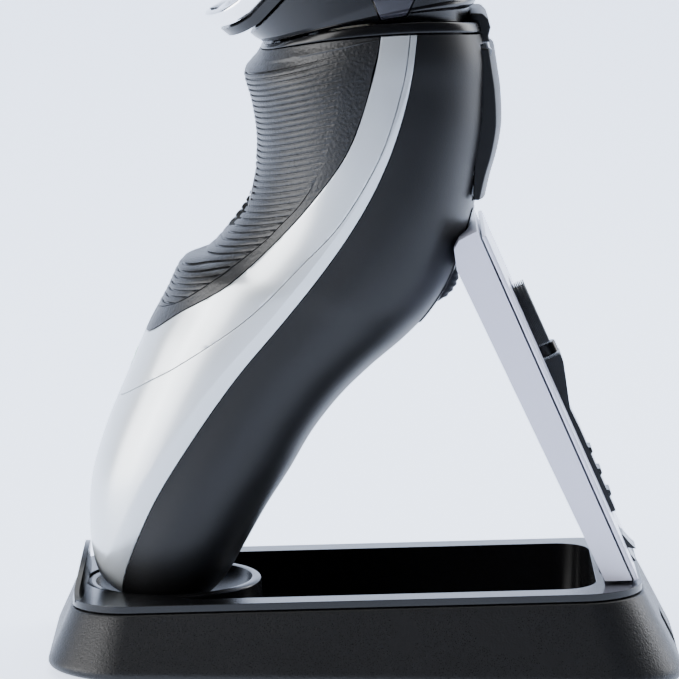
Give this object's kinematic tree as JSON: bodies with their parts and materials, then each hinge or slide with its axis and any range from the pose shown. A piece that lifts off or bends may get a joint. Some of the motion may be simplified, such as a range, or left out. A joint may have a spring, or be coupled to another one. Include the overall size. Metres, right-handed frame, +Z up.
{
  "type": "rotary shaver on charging stand",
  "caption": "Cordless rotary shaver with a tilted head, ribbed grip and pop-up trimmer, leaning in a low charging tray against a folding arm that carries a cleaning brush.",
  "frame": {"origin": "middle of the stand's footprint, on the plane its rubber feet stand on", "axes": "+Z up; +X along the stand from the cup to the arm; +Y across the stand, away from the side seen first"},
  "size_m": [0.1389, 0.0734, 0.1807],
  "materials": {
    "grained_black": "spark-eroded grain",
    "satin_black": "satin gloss",
    "soft_black": "soft-touch coat",
    "rubber_black": "fine leather grain, ribbed",
    "silver": "satin silver paint",
    "lilac_grey": "gloss",
    "chrome": "polished",
    "steel": "fine turned",
    "brass": "plated",
    "board": "varnished",
    "dark_grey": "satin",
    "nylon": "natural",
    "lens": "clear tinted"
  },
  "bodies": {
    "stand": {"stand_base": "grained_black", "stand_tray": "satin_black", "foot_cup": "satin_black", "base_cover": "soft_black", "rubber_foot_1": "rubber_black", "rubber_foot_2": "rubber_black", "rubber_foot_3": "rubber_black", "rubber_foot_4": "rubber_black", "base_screw_1": "steel", "base_screw_2": "steel", "base_screw_3": "steel", "base_screw_4": "steel", "stand_board": "board", "power_inlet": "soft_black", "support_arm": "lilac_grey", "arm_back_cover": "lilac_grey", "arm_hinge_pin": "steel", "arm_latch": "satin_black"},
    "pin_near": {"charge_pin_near": "brass"},
    "pin_far": {"charge_pin_far": "brass"},
    "brush": {"brush_handle": "satin_black", "brush_ferrule": "satin_black", "brush_bristles": "nylon"},
    "handle": {"rubber_grip": "rubber_black", "upper_front_panel": "silver", "lower_front_shell": "silver", "rear_shell": "soft_black", "button_ring": "dark_grey", "charge_light": "lens", "charge_socket": "soft_black", "slider_track": "satin_black", "trimmer_pin": "steel", "battery_cell": "board", "inner_frame": "nylon", "circuit_board": "board", "gear_tray": "nylon", "drive_cover": "dark_grey", "drive_motor": "steel", "hair_chamber": "satin_black", "head_hinge_pin": "steel"},
    "button": {"power_button": "silver"},
    "slider": {"trimmer_slider": "soft_black"},
    "trimmer": {"trimmer_lid": "soft_black", "trimmer_comb": "steel"},
    "trimmer_blade": {"trimmer_cutter": "steel"},
    "pinion": {"motor_pinion": "brass"},
    "spindle_1": {"drive_spindle_1": "nylon"},
    "spindle_2": {"drive_spindle_2": "nylon"},
    "spindle_3": {"drive_spindle_3": "nylon"},
    "tab_near": {"release_tab_near": "dark_grey"},
    "tab_far": {"release_tab_far": "dark_grey"},
    "head": {"head_frame": "satin_black", "chrome_bezel": "chrome"},
    "guard_1": {"guard_1": "steel"},
    "guard_2": {"guard_2": "steel"},
    "guard_3": {"guard_3": "steel"},
    "rotor_1": {"cutter_1": "steel"},
    "rotor_2": {"cutter_2": "steel"},
    "rotor_3": {"cutter_3": "steel"}
  },
  "joints": [
    {"name": "shaver_lift", "type": "slide", "parent": "stand", "child": "handle", "axis": [0, 0, 1], "range_m": [0, 0.12]},
    {"name": "charge_pin_press_near", "type": "slide", "parent": "stand", "child": "pin_near", "axis": [0, 0, -1], "range_m": [0, 0.001], "stiffness_N_per_m": 300},
    {"name": "charge_pin_press_far", "type": "slide", "parent": "stand", "child": "pin_far", "axis": [0, 0, -1], "range_m": [0, 0.001], "stiffness_N_per_m": 300},
    {"name": "brush_pull", "type": "slide", "parent": "stand", "child": "brush", "axis": [0.9069, 0, 0.4213], "range_m": [0, 0.03]},
    {"name": "power_press", "type": "slide", "parent": "handle", "child": "button", "axis": [0.982, 0, -0.189], "range_m": [0, 0.0008], "stiffness_N_per_m": 600},
    {"name": "trimmer_slider_slide", "type": "slide", "parent": "handle", "child": "slider", "axis": [-0.5039, 0, -0.8638], "range_m": [0, 0.003], "stiffness_N_per_m": 300},
    {"name": "trimmer_swing", "type": "hinge", "parent": "handle", "child": "trimmer", "pos_m": [0.0239, 0, 0.1363], "axis": [0, -1, 0], "range_deg": [0, 80]},
    {"name": "trimmer_blade_shuttle", "type": "slide", "parent": "trimmer", "child": "trimmer_blade", "axis": [0, 1, 0], "range_m": [-0.0008, 0.0008]},
    {"name": "motor_spin", "type": "hinge", "parent": "handle", "child": "pinion", "pos_m": [-0.00026, 0, 0.14928], "axis": [-0.766, 0, 0.6428], "continuous": true},
    {"name": "spindle_spin_1", "type": "hinge", "parent": "handle", "child": "spindle_1", "pos_m": [-0.00907, 0, 0.13879], "axis": [-0.766, 0, 0.6428], "continuous": true},
    {"name": "spindle_spin_2", "type": "hinge", "parent": "handle", "child": "spindle_2", "pos_m": [0.00411, 0.0119, 0.15449], "axis": [-0.766, 0, 0.6428], "continuous": true},
    {"name": "spindle_spin_3", "type": "hinge", "parent": "handle", "child": "spindle_3", "pos_m": [0.00411, -0.0119, 0.15449], "axis": [-0.766, 0, 0.6428], "continuous": true},
    {"name": "release_press_near", "type": "slide", "parent": "handle", "child": "tab_near", "axis": [0, 1, 0], "range_m": [0, 0.0008], "stiffness_N_per_m": 600},
    {"name": "release_press_far", "type": "slide", "parent": "handle", "child": "tab_far", "axis": [0, -1, 0], "range_m": [0, 0.0008], "stiffness_N_per_m": 600},
    {"name": "head_open", "type": "hinge", "parent": "handle", "child": "head", "pos_m": [0.00572, 0, 0.17664], "axis": [0, 1, 0], "range_deg": [0, 95]},
    {"name": "guard_tilt_1", "type": "hinge", "parent": "head", "child": "guard_1", "pos_m": [-0.02431, 0, 0.15158], "axis": [0, -1, 0], "range_deg": [-6, 6], "stiffness_Nm_per_rad": 0.05},
    {"name": "guard_tilt_2", "type": "hinge", "parent": "head", "child": "guard_2", "pos_m": [-0.01114, 0.0119, 0.16728], "axis": [-0.5581, 0.496, -0.6652], "range_deg": [-6, 6], "stiffness_Nm_per_rad": 0.05},
    {"name": "guard_tilt_3", "type": "hinge", "parent": "head", "child": "guard_3", "pos_m": [-0.01114, -0.0119, 0.16728], "axis": [0.5581, 0.496, 0.6652], "range_deg": [-6, 6], "stiffness_Nm_per_rad": 0.05},
    {"name": "cutter_spin_1", "type": "hinge", "parent": "guard_1", "child": "rotor_1", "pos_m": [-0.02431, 0, 0.15158], "axis": [-0.766, 0, 0.6428], "continuous": true},
    {"name": "cutter_spin_2", "type": "hinge", "parent": "guard_2", "child": "rotor_2", "pos_m": [-0.01114, 0.0119, 0.16728], "axis": [-0.766, 0, 0.6428], "continuous": true},
    {"name": "cutter_spin_3", "type": "hinge", "parent": "guard_3", "child": "rotor_3", "pos_m": [-0.01114, -0.0119, 0.16728], "axis": [-0.766, 0, 0.6428], "continuous": true}
  ],
  "couplings": [
    {"joint": "spindle_spin_1", "follows": "cutter_spin_1", "ratio": 1},
    {"joint": "spindle_spin_2", "follows": "cutter_spin_1", "ratio": 1},
    {"joint": "spindle_spin_3", "follows": "cutter_spin_1", "ratio": 1},
    {"joint": "cutter_spin_2", "follows": "cutter_spin_1", "ratio": 1},
    {"joint": "cutter_spin_3", "follows": "cutter_spin_1", "ratio": 1},
    {"joint": "motor_spin", "follows": "cutter_spin_1", "ratio": -1.5}
  ]
}
